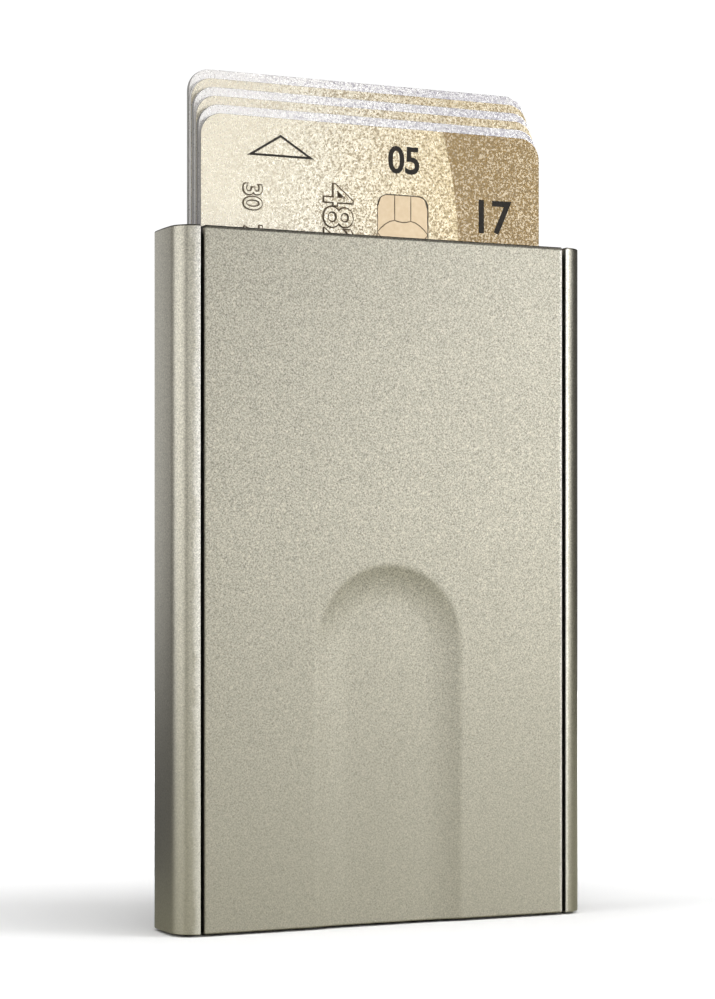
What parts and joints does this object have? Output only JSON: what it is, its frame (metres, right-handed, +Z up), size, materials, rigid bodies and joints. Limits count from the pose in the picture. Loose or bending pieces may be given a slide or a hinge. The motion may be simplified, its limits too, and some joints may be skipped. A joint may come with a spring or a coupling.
{
  "type": "aluminium card wallet",
  "caption": "Slim aluminium card wallet: a sliding front plate with a thumb groove lifts a staggered stack of payment cards out of its open top.",
  "frame": {"origin": "on the surface that the wallet stands on, below the middle of the case", "axes": "+Z up the wallet towards its open top, -Y out of the front plate, +X to the right seen from the front"},
  "size_m": [0.0644, 0.0114, 0.1213],
  "materials": {
    "blasted_aluminium": "fine bead-blasted, champagne-grey anodised",
    "black_nylon": "moulded, fine spark texture",
    "spring_steel": "bright rolled and drawn",
    "screw_steel": "turned, lightly passivated",
    "gold_card_print": "glittering gold print under clear laminate",
    "silver_card_print": "glittering silver-white print under clear laminate",
    "chip_contact": "gold-plated contacts"
  },
  "bodies": {
    "case": {"rear_shell": "blasted_aluminium", "bottom_cap": "black_nylon", "cap_screw_left": "screw_steel", "cap_screw_right": "screw_steel", "left_liner": "black_nylon", "right_liner": "black_nylon", "left_return_spring": "spring_steel", "right_return_spring": "spring_steel", "left_grip_spring": "spring_steel", "right_grip_spring": "spring_steel"},
    "slider": {"front_plate": "blasted_aluminium", "slide_carriage": "black_nylon", "card_lifter": "black_nylon", "plate_screw_1": "screw_steel", "plate_screw_2": "screw_steel", "plate_screw_3": "screw_steel", "plate_screw_4": "screw_steel", "lifter_screw_1": "screw_steel", "lifter_screw_2": "screw_steel"},
    "first_card": {"card_1": "gold_card_print", "card_1_chip": "chip_contact"},
    "second_card": {"card_2": "silver_card_print", "card_2_chip": "chip_contact"},
    "third_card": {"card_3": "gold_card_print", "card_3_chip": "chip_contact"},
    "fourth_card": {"card_4": "silver_card_print", "card_4_chip": "chip_contact"},
    "fifth_card": {"card_5": "gold_card_print", "card_5_chip": "chip_contact"},
    "sixth_card": {"card_6": "silver_card_print", "card_6_chip": "chip_contact"}
  },
  "joints": [
    {"name": "plate_slide", "type": "slide", "parent": "case", "child": "slider", "axis": [0, 0, 1], "range_m": [0, 0.024], "stiffness_N_per_m": 25, "springref_m": -0.02, "deforming": ["left_return_spring", "right_return_spring"]},
    {"name": "first_card_slide", "type": "slide", "parent": "case", "child": "first_card", "axis": [0, 0, 1], "range_m": [-0.024, 0.05]},
    {"name": "second_card_slide", "type": "slide", "parent": "case", "child": "second_card", "axis": [0, 0, 1], "range_m": [-0.024, 0.05]},
    {"name": "third_card_slide", "type": "slide", "parent": "case", "child": "third_card", "axis": [0, 0, 1], "range_m": [-0.024, 0.05]},
    {"name": "fourth_card_slide", "type": "slide", "parent": "case", "child": "fourth_card", "axis": [0, 0, 1], "range_m": [-0.024, 0.05]},
    {"name": "fifth_card_slide", "type": "slide", "parent": "case", "child": "fifth_card", "axis": [0, 0, 1], "range_m": [-0.024, 0.05]},
    {"name": "sixth_card_slide", "type": "slide", "parent": "case", "child": "sixth_card", "axis": [0, 0, 1], "range_m": [-0.024, 0.05]}
  ]
}
